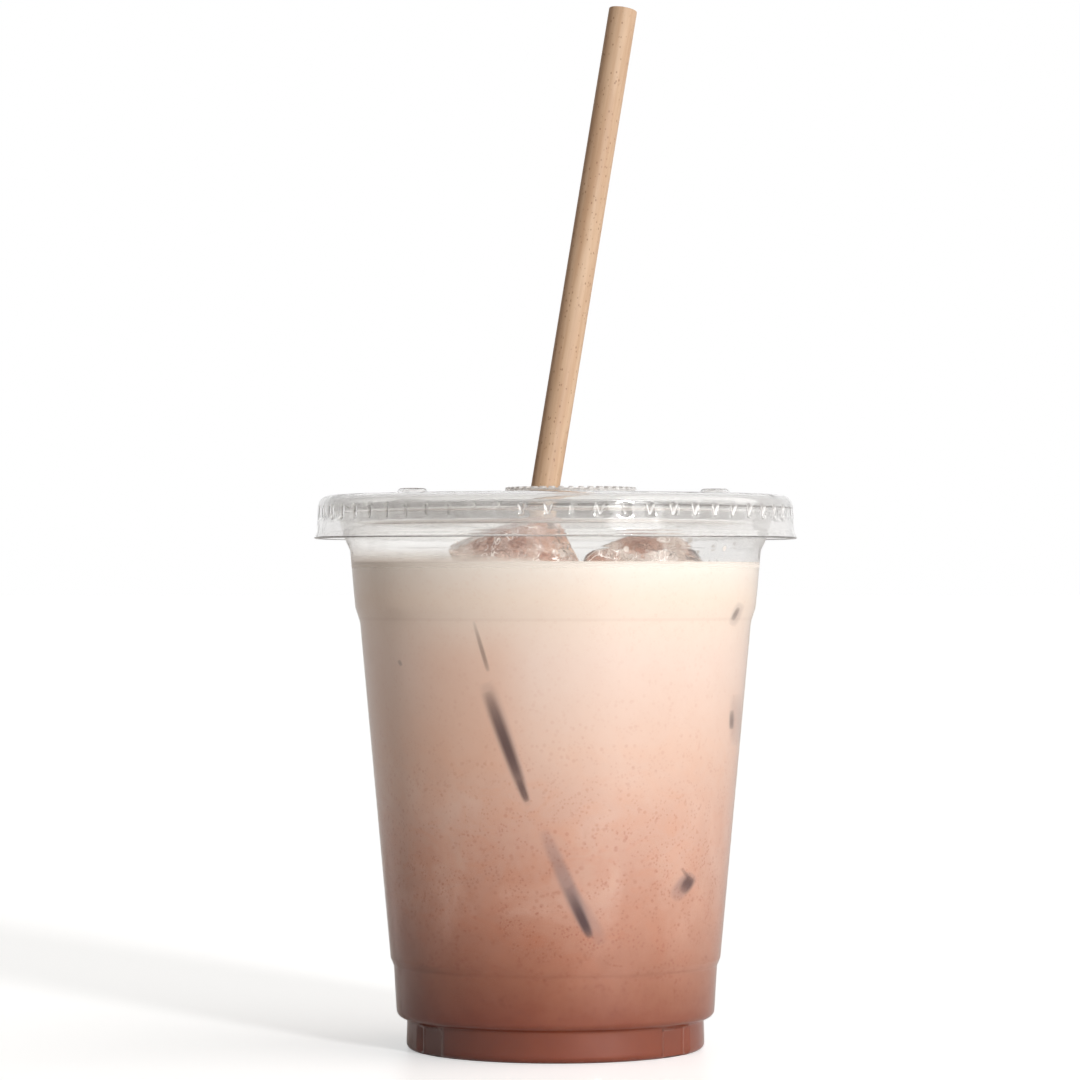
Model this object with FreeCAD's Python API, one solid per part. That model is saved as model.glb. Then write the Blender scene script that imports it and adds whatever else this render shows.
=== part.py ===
import FreeCAD, Part
import math
import os

# Iced milk tea in a clear thermoformed cup, with a flat press-on lid, a straw and ice.
# Millimetres, +Z up. The cup's axis is Z, its foot stands on z = 0 and the front is towards -Y.
# An angle named "heading" is measured about Z from the front, growing towards +X.

# Cup. Radii are of the outer face. A height is measured up and a drop is measured down from the rim.
cup_height = 115.3
cup_wall = 0.4
foot_radius = 31.25
foot_height = 6.5
foot_ring_width = 3.8
foot_lean = 0.35
base_rise = 2.6
ledge_width = 2.0
ledge_rounding = 1.7
lower_band_height = 10.9
step_out = 0.7
lower_step_height = 1.7
upper_step_drop = 26.1
upper_step_out = 1.0
upper_step_height = 3.1
upper_band_height = 12.0
flare_out = 1.4
flare_height = 2.9
neck_out = 1.35
band_slope = 0.06
rim_curl_radius = 1.75
rim_curl_turn = 300.0
rim_outer_radius = 48.95
neck_height = 1.6

# Notches pressed into the foot's outer face.
notch_depth = 1.1
notch_width = 10.4
notch_side_run = 1.6
notch_middle = -2.0
notch_spread = 111.0
notch_headroom = 0.3

# Lid.
lid_wall = 0.4
lid_seat_gap = 0.05
lid_skirt_clearance = 0.3
lid_skirt_drop = 7.75
lid_lip_flare = 0.55
lid_lip_height = 1.2
lid_skirt_lean = 0.45
lid_shoulder_radius = 2.4
plug_clearance = 0.25
plug_depth = 5.95
plug_taper = 1.2
moat_width = 2.0
panel_drop = 0.8
# The lid's flat middle is a solid of its own, and meets the ring this far inside the moat.
panel_join_inset = 0.9

# Snap lugs around the skirt, which catch under the cup's rim.
lug_count = 60
lug_width = 1.7
lug_rim_clearance = 0.05
lug_height = 2.3
lug_top_drop = 2.6
lug_first_heading = 4.1

# Raised boss with the straw slot, its ribs, and the three stacking buttons.
boss_x = 3.2
boss_radius = 14.8
boss_rise = 2.2
boss_taper = 1.0
rib_count = 40
rib_length = 1.8
rib_width = 0.9
rib_height = 0.35
slot_length = 20.0
slot_width = 0.6
button_count = 3
button_radius = 3.9
button_rise = 1.9
button_taper = 1.2
button_circle = 36.1
button_first_heading = -54.5

# Straw.
straw_diameter = 6.0
straw_wall = 0.75
straw_length = 219.8
straw_foot_heading = -60.0
straw_foot_inset = 0.45
straw_lid_x = -2.2
straw_lid_y = 0.0
straw_hole_clearance = 0.3

# Drink and ice. The drink's level is a drop below the rim, and an ice block's depth is how far
# its centre lies below that level.
drink_drop = 13.9
# A cut is the direction that a broken face looks in, in the block's own axes, and how far it
# lies inside the block's corner on that side.
left_ice_size = (22.0, 18.0, 21.0)
left_ice_turn = (4.0, -27.0, 6.0)
left_ice_centre = (-7.3, -21.5)
left_ice_depth = 1.2
left_ice_cuts = (((0.19, 0.0, 0.98), 3.1), ((-0.2, -0.8, 0.55), 5.0))
left_ice_rounding = 1.6
right_ice_size = (27.0, 17.0, 17.0)
right_ice_turn = (-4.0, 2.0, -4.0)
right_ice_centre = (19.0, -1.5)
right_ice_depth = 2.3
right_ice_cuts = (((-0.45, 0.0, 0.89), 4.6), ((0.73, 0.0, 0.68), 4.6), ((0.1, -0.75, 0.65), 3.5))
right_ice_rounding = 3.0

UP = FreeCAD.Vector(0, 0, 1)
ORIGIN = FreeCAD.Vector(0, 0, 0)


def at_heading(radius, heading, z=0.0):
    """Point at a radius and height, at an angle from the front."""
    turn = math.radians(heading)
    return FreeCAD.Vector(radius * math.sin(turn), -radius * math.cos(turn), z)


def offset_corners(corners, distance):
    """Corners (radius, z, rounding) of the line that runs a distance to the left of a profile."""
    runs = list(zip(corners, corners[1:]))
    normals = []
    for (r0, z0, _), (r1, z1, _) in runs:
        length = math.hypot(r1 - r0, z1 - z0)
        normals.append(((z0 - z1) / length, (r1 - r0) / length))
    first, last = corners[0], corners[-1]
    moved = [(first[0] + normals[0][0] * distance, first[1] + normals[0][1] * distance, 0)]
    for (r, z, rounding), (ar, az), (br, bz) in zip(corners[1:], normals, normals[1:]):
        share = distance / (1 + ar * br + az * bz)
        turns_left = br * az - bz * ar < 0
        inner = rounding - distance if turns_left else rounding + distance
        moved.append((r + (ar + br) * share, z + (az + bz) * share, max(inner, 0.0) if rounding else 0))
    moved.append((last[0] + normals[-1][0] * distance, last[1] + normals[-1][1] * distance, 0))
    return moved


def rounded_edges(corners):
    """Edges in the XZ plane: straight runs, joined by an arc at each corner that has a rounding."""
    points = [FreeCAD.Vector(r, 0, z) for r, z, _ in corners]
    edges = []
    start = points[0]
    for before, corner, after, (_, _, rounding) in zip(points, points[1:], points[2:], corners[1:]):
        if rounding == 0:
            edges.append(Part.makeLine(start, corner))
            start = corner
            continue
        back = (before - corner).normalize()
        ahead = (after - corner).normalize()
        half_angle = back.getAngle(ahead) / 2
        reach = rounding / math.tan(half_angle)
        inward = (back + ahead).normalize()
        middle = corner + inward * (rounding / math.sin(half_angle) - rounding)
        arc_start = corner + back * reach
        arc_end = corner + ahead * reach
        edges.append(Part.makeLine(start, arc_start))
        edges.append(Part.Arc(arc_start, middle, arc_end).toShape())
        start = arc_end
    edges.append(Part.makeLine(start, points[-1]))
    return edges


def turned_solid(edges, closing):
    """Solid of revolution of a profile closed by straight runs through the closing points."""
    wire_edges = Part.sortEdges(edges)[0]
    start = edges[0].firstVertex().Point
    stops = [edges[-1].lastVertex().Point] + [FreeCAD.Vector(r, 0, z) for r, z in closing] + [start]
    wire_edges += [Part.makeLine(a, b) for a, b in zip(stops, stops[1:])]
    face = Part.Face(Part.Wire(wire_edges))
    return face.revolve(ORIGIN, UP, 360)


def cup_profile():
    """Corners of the cup's outer face, from the middle of its base up to the rim's curl."""
    ring_inner = foot_radius - foot_ring_width
    band_foot = foot_radius + ledge_width
    ledge_z = foot_height + 0.3
    step_z = foot_height + lower_band_height
    step_r = band_foot + band_slope * (step_z - ledge_z)
    wall_r = step_r + step_out
    wall_z = step_z + lower_step_height
    neck_r = rim_outer_radius - 2 * rim_curl_radius + cup_wall
    curl_z = cup_height - rim_curl_radius
    flare_r = neck_r - neck_out - flare_out
    upper_z = cup_height - upper_step_drop
    wall_slope = (flare_r - upper_step_out - wall_r) / (upper_z - wall_z + upper_band_height)
    upper_r = wall_r + wall_slope * (upper_z - wall_z)
    band_r = upper_r + upper_step_out
    band_z = upper_z + upper_step_height
    flare_z = band_z + upper_band_height
    return [
        (0, base_rise, 0),
        (ring_inner, base_rise, 1.1),
        (ring_inner + foot_lean, 0, 1.0),
        (foot_radius, 0, 1.3),
        (foot_radius - foot_lean / 2, foot_height, 0.6),
        (band_foot, ledge_z, ledge_rounding),
        (step_r, step_z, 0.9),
        (wall_r, wall_z, 1.0),
        (upper_r, upper_z, 1.6),
        (band_r, band_z, 1.6),
        (flare_r, flare_z, 1.8),
        (flare_r + flare_out, flare_z + flare_height, 2.0),
        (neck_r, curl_z - neck_height, 2.0),
        (neck_r, curl_z, 0),
    ]


def rim_curl():
    """Rolled rim: a band of the wall's thickness, bent outwards and down into a hook."""
    centre = FreeCAD.Vector(rim_outer_radius - rim_curl_radius, 0, cup_height - rim_curl_radius)
    inner_radius = rim_curl_radius - cup_wall

    def on_curl(radius, turned):
        angle = math.radians(180 - turned)
        return centre + FreeCAD.Vector(radius * math.cos(angle), 0, radius * math.sin(angle))

    def arc(radius, start, end):
        return Part.Arc(
            on_curl(radius, start), on_curl(radius, (start + end) / 2), on_curl(radius, end)
        ).toShape()

    edges = [
        arc(rim_curl_radius, 0, rim_curl_turn),
        Part.makeLine(on_curl(rim_curl_radius, rim_curl_turn), on_curl(inner_radius, rim_curl_turn)),
        arc(inner_radius, rim_curl_turn, 0),
        Part.makeLine(on_curl(inner_radius, 0), on_curl(rim_curl_radius, 0)),
    ]
    return Part.Face(Part.Wire(edges)).revolve(ORIGIN, UP, 360)


def notch_tools(extra):
    """Prisms with sloping sides that press the foot's face in, grown by extra for the inner face."""
    floor_radius = foot_radius - notch_depth - extra
    outside = foot_radius + 2.0
    half = notch_width / 2 + extra
    spread = half + (outside - floor_radius) * notch_side_run / notch_depth
    top = foot_height - notch_headroom + extra
    headings = (notch_middle - notch_spread / 2, notch_middle + notch_spread / 2, notch_middle + 180)
    tools = []
    for heading in headings:
        outline = Part.makePolygon([
            FreeCAD.Vector(-half + notch_side_run, -floor_radius, -1),
            FreeCAD.Vector(half - notch_side_run, -floor_radius, -1),
            FreeCAD.Vector(spread - notch_side_run, -outside, -1),
            FreeCAD.Vector(-spread + notch_side_run, -outside, -1),
            FreeCAD.Vector(-half + notch_side_run, -floor_radius, -1),
        ])
        tool = Part.Face(outline).extrude(UP * (top + 1))
        tool.rotate(ORIGIN, UP, heading)
        tools.append(tool)
    return tools


def cup_cavity():
    """All the space inside the cup's wall, up to the middle of the rim's curl."""
    profile = offset_corners(cup_profile(), cup_wall)
    cavity = turned_solid(rounded_edges(profile), [(0, profile[-1][1])])
    return cavity.cut(notch_tools(cup_wall))


def make_cup(cavity):
    profile = cup_profile()
    body = turned_solid(rounded_edges(profile), [(0, profile[-1][1])])
    body = body.cut(notch_tools(0.0))
    return body.cut(cavity).fuse(rim_curl()).removeSplitter()


def lid_top():
    """Height of the lid's highest ring, which bears on the cup's rim."""
    return cup_height + lid_seat_gap + lid_wall


def lid_profile():
    """Corners of the lid's upper face, from the skirt's lip over the rim to the middle."""
    skirt_r = rim_outer_radius + lid_skirt_clearance + lid_wall
    top = lid_top()
    lip_z = top - lid_skirt_drop - lid_lip_height
    neck_inner = rim_outer_radius - 2 * rim_curl_radius
    plug_r = neck_inner - plug_clearance - lid_wall
    moat_z = top - plug_depth
    moat_r = plug_r - plug_taper
    panel_z = top - panel_drop
    return [
        (skirt_r + lid_skirt_lean + lid_lip_flare, lip_z, 0),
        (skirt_r + lid_skirt_lean, lip_z + lid_lip_height, 0.8),
        (skirt_r, top, lid_shoulder_radius),
        (plug_r, top, 1.1),
        (moat_r, moat_z, 0.8),
        (moat_r - moat_width, moat_z, 0.9),
        (moat_r - moat_width - plug_taper / 2, panel_z, 1.1),
        (0, panel_z, 0),
    ]


def lug_tools(skirt_radius, extra):
    """Upright V-section prisms around the skirt, grown by extra for the inner face."""
    top = lid_top() - lug_top_drop + extra / 2
    half = lug_width / 2 + extra
    tip = rim_outer_radius + lug_rim_clearance + lid_wall - extra
    outside = skirt_radius + 1.5
    spread = half * (outside - tip) / (skirt_radius - tip)
    section = Part.makePolygon([
        FreeCAD.Vector(0, -tip, top),
        FreeCAD.Vector(spread, -outside, top),
        FreeCAD.Vector(-spread, -outside, top),
        FreeCAD.Vector(0, -tip, top),
    ])
    wedge = Part.Face(section).extrude(UP * -(lug_height + extra))
    tools = []
    for number in range(lug_count):
        tool = wedge.copy()
        tool.rotate(ORIGIN, UP, lug_first_heading + number * 360 / lug_count)
        tools.append(tool)
    return tools


def raised_forms(inset):
    """The boss and the stacking buttons as cones standing on the panel, inset for the inner face."""
    panel_z = lid_top() - panel_drop - inset
    forms = [
        Part.makeCone(
            boss_radius - inset, boss_radius - boss_taper - inset, boss_rise,
            FreeCAD.Vector(boss_x, 0, panel_z),
        )
    ]
    for number in range(button_count):
        heading = button_first_heading + number * 360 / button_count
        place = at_heading(button_circle, heading, panel_z)
        forms.append(
            Part.makeCone(button_radius - inset, button_radius - button_taper - inset, button_rise, place)
        )
    return forms


def boss_ribs():
    """Short radial ribs around the edge of the boss's top."""
    top = lid_top() - panel_drop + boss_rise
    outer = boss_radius - boss_taper
    ribs = []
    for number in range(rib_count):
        rib = Part.makeBox(
            rib_width, rib_length, rib_height + lid_wall / 2,
            FreeCAD.Vector(-rib_width / 2, -outer, top - lid_wall / 2),
        )
        rib.rotate(ORIGIN, UP, number * 360 / rib_count)
        rib.translate(FreeCAD.Vector(boss_x, 0, 0))
        ribs.append(rib)
    return ribs


def straw_slot():
    """A cross of two slits in the boss, and the round opening that the straw has pushed in it."""
    low = cup_height - plug_depth
    tall = boss_rise + plug_depth * 2
    along = Part.makeBox(
        slot_length, slot_width, tall, FreeCAD.Vector(boss_x - slot_length / 2, -slot_width / 2, low)
    )
    across = Part.makeBox(
        slot_width, slot_length, tall, FreeCAD.Vector(boss_x - slot_width / 2, -slot_length / 2, low)
    )
    opening = Part.makeCylinder(
        straw_diameter / 2 + straw_hole_clearance, straw_length, straw_base(), straw_direction()
    )
    return [along, across, opening]


def make_lid():
    """The lid's sheet in two solids, its ring and its flat middle, which meet on an upright cylinder."""
    profile = lid_profile()
    under = offset_corners(profile, lid_wall)
    low = profile[0][1] - 1.0
    body = turned_solid(rounded_edges(profile), [(0, profile[0][1])])
    body = body.fuse(raised_forms(0.0)).fuse(boss_ribs())
    hollow = turned_solid(rounded_edges(under), [(0, low), (under[0][0], low)])
    hollow = hollow.fuse(raised_forms(lid_wall))
    skirt_radius = profile[2][0] + lid_skirt_lean / 2
    body = body.cut(lug_tools(skirt_radius, 0.0))
    hollow = hollow.cut(lug_tools(skirt_radius, lid_wall))
    sheet = body.cut(hollow).cut(straw_slot()).removeSplitter()
    join_radius = profile[-2][0] - panel_join_inset
    middle = Part.makeCylinder(join_radius, lid_top() + boss_rise - low, FreeCAD.Vector(0, 0, low))
    return sheet.cut(middle), sheet.common(middle)


def straw_ends():
    """Where the straw's axis meets the cup's raised floor, near its edge, and the top of the boss."""
    floor_radius = foot_radius - foot_ring_width - straw_foot_inset - straw_diameter / 2
    on_floor = at_heading(floor_radius, straw_foot_heading, base_rise + cup_wall)
    boss_top = lid_top() - panel_drop + boss_rise
    return on_floor, FreeCAD.Vector(straw_lid_x, straw_lid_y, boss_top)


def straw_direction():
    """Unit vector up along the straw."""
    on_floor, in_lid = straw_ends()
    return (in_lid - on_floor).normalize()


def straw_base():
    """Middle of the straw's lower end, whose edge rests on the cup's floor."""
    along = straw_direction()
    edge_drop = straw_diameter / 2 * math.sqrt(1 - along.z ** 2)
    return straw_ends()[0] + along * (edge_drop / along.z)


def straw_rod(diameter):
    return Part.makeCylinder(diameter / 2, straw_length, straw_base(), straw_direction())


def make_straw():
    return straw_rod(straw_diameter).cut(straw_rod(straw_diameter - 2 * straw_wall))


def drink_level():
    """Height of the drink's level."""
    return cup_height - drink_drop


def make_ice(size, turn, centre, depth, cuts, rounding):
    """A block of ice with broken faces and every edge melted round."""
    width, length, height = size
    block = Part.makeBox(
        width, length, height, FreeCAD.Vector(-width / 2, -length / 2, -height / 2)
    )
    reach = width + length + height
    for direction, inset in cuts:
        facing = FreeCAD.Vector(*direction).normalize()
        corner = FreeCAD.Vector(
            math.copysign(width / 2, facing.x),
            math.copysign(length / 2, facing.y),
            math.copysign(height / 2, facing.z),
        )
        cutter = Part.makeBox(reach, reach, reach, FreeCAD.Vector(-reach / 2, -reach / 2, 0))
        cutter.rotate(ORIGIN, UP.cross(facing), math.degrees(UP.getAngle(facing)))
        cutter.translate(corner - facing * inset)
        block = block.cut(cutter)
    block = block.makeFillet(rounding, block.Edges)
    spin = FreeCAD.Rotation(turn[2], turn[1], turn[0])
    place = FreeCAD.Vector(centre[0], centre[1], drink_level() - depth)
    block.Placement = FreeCAD.Placement(place, spin).multiply(block.Placement)
    return block


def make_drink(cavity, ice):
    """Everything inside the cup up to the level, around the ice and the straw, and inside the straw."""
    reach = 2 * rim_outer_radius
    above = Part.makeBox(reach, reach, cup_height, FreeCAD.Vector(-reach / 2, -reach / 2, drink_level()))
    return cavity.cut([above, make_straw()] + ice)


def main():
    os.makedirs("parts", exist_ok=True)
    cavity = cup_cavity()
    ice_left = make_ice(
        left_ice_size, left_ice_turn, left_ice_centre,
        left_ice_depth, left_ice_cuts, left_ice_rounding,
    )
    ice_right = make_ice(
        right_ice_size, right_ice_turn, right_ice_centre,
        right_ice_depth, right_ice_cuts, right_ice_rounding,
    )
    lid_ring, lid_panel = make_lid()
    nodes = {
        "cup": make_cup(cavity),
        "lid": lid_ring,
        "lid_panel": lid_panel,
        "straw": make_straw(),
        "drink": make_drink(cavity, [ice_left, ice_right]),
        "ice_left": ice_left,
        "ice_right": ice_right,
    }
    for name, shape in nodes.items():
        shape.exportStep(f"parts/{name}.step")
        print(name, "valid" if shape.isValid() else "INVALID", len(shape.Solids), round(shape.Volume))


main()
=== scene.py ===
import math

import bmesh
import bpy
import numpy as np
from bpy.props import FloatProperty, FloatVectorProperty, PointerProperty
from mathutils import Euler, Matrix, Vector


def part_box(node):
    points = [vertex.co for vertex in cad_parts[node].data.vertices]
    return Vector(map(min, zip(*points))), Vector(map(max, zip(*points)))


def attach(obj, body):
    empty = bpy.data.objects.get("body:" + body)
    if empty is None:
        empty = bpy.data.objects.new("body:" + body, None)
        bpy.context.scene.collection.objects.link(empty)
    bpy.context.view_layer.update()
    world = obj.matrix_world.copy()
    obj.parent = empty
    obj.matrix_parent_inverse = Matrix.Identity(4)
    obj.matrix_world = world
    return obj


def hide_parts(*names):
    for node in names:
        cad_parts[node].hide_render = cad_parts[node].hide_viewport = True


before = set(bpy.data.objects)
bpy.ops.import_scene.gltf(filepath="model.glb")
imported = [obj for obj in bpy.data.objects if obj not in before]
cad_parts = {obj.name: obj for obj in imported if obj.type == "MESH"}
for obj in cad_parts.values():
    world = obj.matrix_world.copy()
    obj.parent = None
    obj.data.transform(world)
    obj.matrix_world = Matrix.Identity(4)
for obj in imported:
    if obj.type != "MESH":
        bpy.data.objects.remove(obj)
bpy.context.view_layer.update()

bl_info = {
    "name": "Iced chai in a clear cup",
    "version": (1, 0, 0),
    "blender": (4, 5, 0),
    "location": "View3D > Sidebar > Chai",
    "description": "Builds an iced milk tea in a clear cup with lid, straw and ice on its CAD frame",
    "category": "Object",
}

MM = 0.001
LUGS = 60
LUG_PITCH = 2 * math.pi / LUGS
RIB_PITCH = math.radians(9)
BOSS_COLUMNS = 480


def length(label, words, value):
    """A size in metres, written in millimetres."""
    return FloatProperty(name=label, description=words, default=value * MM, unit="LENGTH", precision=5)


def angle(label, words, degrees):
    """An angle written in degrees."""
    return FloatProperty(name=label, description=words, default=math.radians(degrees), subtype="ANGLE")


def share(label, words, value):
    """A plain number, such as a slope or a strength."""
    return FloatProperty(name=label, description=words, default=value, precision=4)


def colour(label, words, red, green, blue):
    """A linear colour, written as the three shown levels from 0 to 255."""
    limits = {"min": 0, "max": 1}
    shown = linear(red, green, blue)
    return FloatVectorProperty(
        name=label, description=words, default=shown, size=3, subtype="COLOR", **limits
    )


def linear(red, green, blue):
    """Linear levels of a shown colour."""
    shown = np.array([red, green, blue]) / 255
    return tuple(np.where(shown <= 0.04045, shown / 12.92, ((shown + 0.055) / 1.055) ** 2.4).tolist())


class CupShape(bpy.types.PropertyGroup):
    """Sizes of the cup's thin wall."""

    wall: length("Wall", "Thickness of the plastic sheet", 0.4)
    foot_radius: length("Foot radius", "Radius of the foot ring", 31.25)
    foot_height: length("Foot height", "Height of the foot ring", 6.5)
    foot_ring: length("Foot ring", "Width of the ring that the cup stands on", 3.8)
    base_rise: length("Base rise", "Height of the pushed-up base", 2.6)
    ledge: length("Ledge", "Width of the rounded ledge above the foot", 2.0)
    ledge_rise: length("Ledge rise", "How far the ledge lies above the foot ring", 0.3)
    lower_band: length("Lower band", "Height of the band above the foot", 10.9)
    lower_step: length("Lower step", "How far the wall steps out above the lower band", 0.7)
    lower_rise: length("Lower step rise", "Height over which the lower step runs", 1.7)
    upper_step_z: length("Upper step height", "Height at which the upper step starts", 89.2)
    upper_step: length("Upper step", "How far the wall steps out at the stacking step", 1.0)
    upper_rise: length("Upper step rise", "Height over which the upper step runs", 3.1)
    upper_band: length("Upper band", "Height of the band above the stacking step", 12.0)
    flare: length("Flare", "How far the wall flares under the rim", 1.4)
    flare_rise: length("Flare rise", "Height over which the wall flares", 2.9)
    curl: length("Curl", "Radius of the rolled rim", 1.75)
    notch_depth: length("Notch depth", "Depth of the notches in the foot", 1.35)
    notch_width: length("Notch width", "Width of the notches in the foot", 10.4)
    notch_side: length("Notch side", "Run of a notch's sloping side", 1.6)
    notch_middle: angle("Notch middle", "Heading half way between the two front notches", -2.0)
    notch_spread: angle("Notch spread", "Angle between the two front notches", 111.0)
    wall_slope: share("Wall slope", "Run of the tall wall outwards for its height", 0.0915)
    band_slope: share("Band slope", "Run of the lower band outwards for its height", 0.06)


class LidShape(bpy.types.PropertyGroup):
    """Sizes of the lid's thin sheet."""

    wall: length("Wall", "Thickness of the plastic sheet", 0.4)
    lip_flare: length("Lip flare", "How far the lip stands out from the skirt", 0.55)
    lip_height: length("Lip height", "Height of the flared lip", 1.2)
    skirt_lean: length("Skirt lean", "How much wider the skirt is at its foot", 0.45)
    shoulder: length("Shoulder", "Rounding over the rim", 2.4)
    plug_depth: length("Plug depth", "Depth of the groove that plugs the cup", 5.95)
    plug_taper: length("Plug taper", "How much the plug narrows downwards", 1.2)
    moat: length("Moat", "Width of the groove's floor", 2.0)
    panel_inner: length("Panel's inner edge", "Radius at which the boss's own rows take over", 28.5)
    panel_drop: length("Panel drop", "How far the middle lies below the shoulder", 0.8)
    lug_width: length("Lug width", "Width of a snap lug", 1.7)
    lug_depth: length("Lug depth", "Depth of a snap lug", 0.48)
    lug_height: length("Lug height", "Height of a snap lug", 2.3)
    lug_drop: length("Lug drop", "How far the lugs' tops lie below the lid's top", 2.6)
    lug_heading: angle("Lug heading", "Heading of the first lug", 4.1)
    boss_x: length("Boss place", "How far right the boss stands", 3.2)
    boss_radius: length("Boss radius", "Radius of the boss at its foot", 14.8)
    boss_taper: length("Boss taper", "How much narrower the boss is at its top", 1.0)
    boss_rise: length("Boss rise", "Height of the boss", 2.2)
    rib_height: length("Rib height", "Height of the small ribs on the boss's edge", 0.35)
    rib_length: length("Rib length", "Length of the small ribs", 1.8)
    slot: length("Slot", "Length of each slit of the cross", 20.0)
    slit: length("Slit", "Width of a slit", 0.6)
    button_radius: length("Button radius", "Radius of a stacking button at its foot", 3.9)
    button_rise: length("Button rise", "Height of a stacking button", 1.9)
    button_taper: length("Button taper", "How much narrower a stacking button is at its top", 1.2)
    button_circle: length("Button circle", "Radius on which the stacking buttons lie", 36.1)
    button_heading: angle("Button heading", "Heading of the first stacking button", -54.5)


class StrawShape(bpy.types.PropertyGroup):
    """Sizes and place of the straw."""

    diameter: length("Diameter", "Outer diameter", 6.0)
    wall: length("Wall", "Wall thickness", 0.75)
    reach: length("Length", "Length of the straw", 219.8)
    lean_right: angle("Lean right", "Lean to the right", 9.25)
    lean_back: angle("Lean back", "Lean to the back", 6.0)
    lid_x: length("Lid place", "Where its middle crosses the boss's top", -2.2)


class DrinkLook(bpy.types.PropertyGroup):
    """Level and colours of the drink, from its top down."""

    sink: length("Sink", "How far the drink reaches into the wall", 0.15)
    meniscus: length("Meniscus", "How far the drink climbs the wall", 0.35)
    froth: colour("Froth", "At the level", 246, 238, 228)
    cream: colour("Cream", "The pale top", 241, 224, 208)
    milk: colour("Milk", "Below the stacking step", 235, 212, 198)
    blush: colour("Blush", "Half way up", 226, 194, 176)
    peach: colour("Peach", "Where the tea starts to show", 207, 164, 145)
    tea: colour("Tea", "The lower third", 181, 126, 102)
    deep: colour("Deep tea", "The lower band", 151, 92, 67)
    foot: colour("Foot", "The darkest tea, in the foot", 128, 61, 37)
    streak: colour("Streak", "The dark streaks at the wall", 58, 27, 31)
    haze: colour("Streak haze", "The grey haze round the dark streaks", 128, 110, 110)


class StageLook(bpy.types.PropertyGroup):
    """Light and camera."""

    sun: share("Sun", "Strength of the soft key light", 2.2)
    sun_heading: angle("Sun heading", "Heading of the key light, from the front to the right", 32.0)
    sun_height: angle("Sun height", "Height of the key light above the floor", 13.0)
    sun_size: angle("Sun size", "Apparent size of the key light", 8.0)
    fill: share("Fill", "Strength of the broad light from the right", 1.2)
    fill_heading: angle("Fill heading", "Heading of the broad light", 80.0)
    fill_height: angle("Fill height", "Height of the broad light above the floor", 30.0)
    fill_size: angle("Fill size", "Apparent size of the broad light", 75.0)
    sky: share("Sky", "Strength of the even light from all round", 0.25)
    glow: share("Floor glow", "How much of the floor's white is its own", 0.53)
    room: share("Room", "Strength of the dark room that gloss mirrors", 0.1)
    window: share("Window", "Strength of the window that gloss mirrors", 4.5)
    lens: share("Lens", "Focal length in millimetres", 139.7)
    eye_x: length("Camera place", "How far right the camera stands", -3.25)
    eye_back: length("Camera distance", "How far in front the camera stands", 880.0)
    eye_height: length("Camera height", "Height of the camera", 97.4)
    eye_pitch: angle("Camera pitch", "How far up the camera looks", 0.588)


# ---- points and meshes


def left_of(corners, distance):
    """Corners (radius, height, rounding) of the line a distance to the left: each corner moves along the
    sum of the normals of its two runs, over 1 + their product, and its rounding shrinks where the line
    turns left."""
    points, rounding = corners[:, :2], corners[:, 2]
    run = np.diff(points, axis=0)
    run /= np.linalg.norm(run, axis=1, keepdims=True)
    normal = np.stack([-run[:, 1], run[:, 0]], 1)
    before = np.vstack([normal[:1], normal])
    after = np.vstack([normal, normal[-1:]])
    moved = points + (before + after) * distance / (1 + (before * after).sum(1, keepdims=True))
    turn = before[:, 0] * after[:, 1] - before[:, 1] * after[:, 0]
    inner = np.maximum(rounding - np.sign(turn) * distance, 0.01 * MM)
    return np.column_stack([moved, np.where(rounding > 0, inner, 0)])


def rounded(corners, steps=7):
    """Points of a line whose corners are arcs: an arc's centre is on the bisector, rounding / sin(half
    angle) from the corner, and its points turn evenly from one run's touching point to the other's."""
    middle = corners[1:-1, :2]
    back = corners[:-2, :2] - middle
    ahead = corners[2:, :2] - middle
    back /= np.linalg.norm(back, axis=1, keepdims=True)
    ahead /= np.linalg.norm(ahead, axis=1, keepdims=True)
    half = np.arccos(np.clip((back * ahead).sum(1, keepdims=True), -1, 1)) / 2
    size = corners[1:-1, 2:]
    bisector = (back + ahead) / np.linalg.norm(back + ahead, axis=1, keepdims=True)
    centre = middle + bisector * size / np.sin(half)
    first = middle + back * size / np.tan(half) - centre
    last = middle + ahead * size / np.tan(half) - centre
    sweep = (math.pi - 2 * half)[:, :, None]
    t = np.linspace(0, 1, steps)[None, :, None]
    arcs = (np.sin((1 - t) * sweep) * first[:, None] + np.sin(t * sweep) * last[:, None]) / np.sin(sweep)
    points = np.vstack([corners[:1, :2], (centre[:, None] + arcs).reshape(-1, 2), corners[-1:, :2]])
    apart = np.linalg.norm(np.diff(points, axis=0), axis=1) > 1e-7
    return points[np.concatenate([[True], apart])]


def finer(line, longest):
    """The line with points added, so that no run is longer than longest, a number or one for each run."""
    gap = np.linalg.norm(np.diff(line, axis=0), axis=1)
    parts = np.maximum(1, np.ceil(gap / longest - 1e-6)).astype(int)
    run = np.repeat(np.arange(len(gap)), parts)
    step = (np.arange(parts.sum()) - np.repeat(np.cumsum(parts) - parts, parts)) / np.repeat(parts, parts)
    return np.vstack([line[run] + (line[run + 1] - line[run]) * step[:, None], line[-1:]])


def turned(line, headings):
    """A line (radius, height) turned about Z: x = r sin(heading) and y = -r cos(heading)."""
    radius = line[:, :1]
    height = line[:, 1:] + 0 * headings
    return np.stack([radius * np.sin(headings), -radius * np.cos(headings), height], -1)


def about_axis(points):
    """Radius and heading of points about Z."""
    return np.hypot(points[..., 0], points[..., 1]), np.arctan2(points[..., 0], -points[..., 1])


def drawn_in(points, radius, held):
    """The points with their radius about Z changed to the held one."""
    moved = points.copy()
    moved[..., :2] *= (held / radius)[..., None]
    return moved


def drink_level():
    """Height of the drink's top."""
    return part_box("drink")[1].z


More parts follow.
